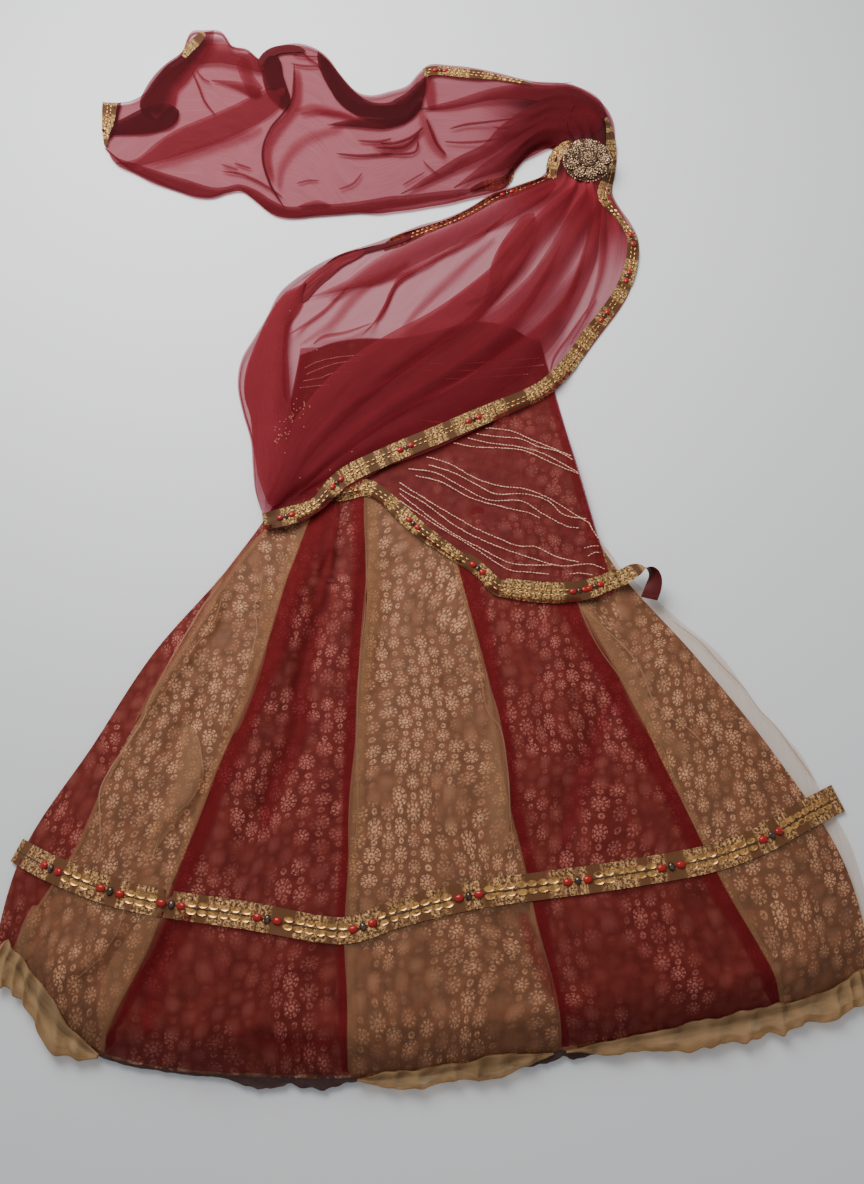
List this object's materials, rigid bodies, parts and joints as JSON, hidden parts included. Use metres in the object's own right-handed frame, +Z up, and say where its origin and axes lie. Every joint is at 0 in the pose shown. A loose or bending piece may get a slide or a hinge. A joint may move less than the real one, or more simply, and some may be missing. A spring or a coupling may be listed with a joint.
{
  "type": "ready-stitched lehenga saree for a child",
  "caption": "Child's ready-stitched saree laid flat: panelled maroon and beige net skirt over a printed lining, maroon top, gold-edged chiffon drape and a stone brooch",
  "frame": {"origin": "the middle of the garment's box, on the table it lies on", "axes": "+X to the right side of the picture, +Y from the hem towards the drape's free end, +Z up from the table"},
  "size_m": [0.8224, 1.2492, 0.0358],
  "materials": {
    "maroon_net": "sheer maroon net and chiffon, soft sheen",
    "beige_net": "sheer beige net, matt",
    "printed_satin": "brown satin printed with pale peach flowers",
    "under_net": "gathered beige net, hidden between the linings",
    "gold_ribbon": "woven gold ribbon with glitter and beads",
    "antique_gold": "antique gold settings",
    "clear_stones": "clear cut stones over foil"
  },
  "bodies": {
    "root": {"brooch_boss": "clear_stones", "brooch_petal_1": "clear_stones", "brooch_petal_2": "clear_stones", "brooch_petal_3": "clear_stones", "brooch_petal_4": "clear_stones", "brooch_petal_5": "clear_stones", "brooch_petal_6": "clear_stones", "brooch_petal_7": "clear_stones", "brooch_petal_8": "clear_stones", "brooch_petal_9": "clear_stones", "brooch_plate": "antique_gold", "brooch_rosette": "antique_gold", "drape_gather": "maroon_net", "drape_hip": "maroon_net", "drape_tail": "maroon_net", "gather_trim_left": "gold_ribbon", "gather_trim_right": "gold_ribbon", "hem_frill_centre": "beige_net", "hem_frill_left": "beige_net", "hem_frill_right": "beige_net", "hip_trim_lower": "gold_ribbon", "hip_trim_upper": "gold_ribbon", "lining_back": "printed_satin", "lining_front": "printed_satin", "lining_hem": "printed_satin", "skirt_back_1": "maroon_net", "skirt_back_2": "beige_net", "skirt_back_3": "maroon_net", "skirt_back_4": "beige_net", "skirt_back_5": "maroon_net", "skirt_back_6": "beige_net", "skirt_front_1": "maroon_net", "skirt_front_2": "beige_net", "skirt_front_3": "maroon_net", "skirt_front_4": "beige_net", "skirt_front_5": "maroon_net", "skirt_front_6": "beige_net", "skirt_trim_back": "gold_ribbon", "skirt_trim_front": "gold_ribbon", "tail_trim_bottom": "gold_ribbon", "tail_trim_end": "gold_ribbon", "tail_trim_top": "gold_ribbon", "top_back": "maroon_net", "top_front": "maroon_net", "top_lining": "printed_satin", "top_trim": "gold_ribbon", "top_trim_end": "gold_ribbon", "underskirt": "under_net"}
  },
  "joints": []
}
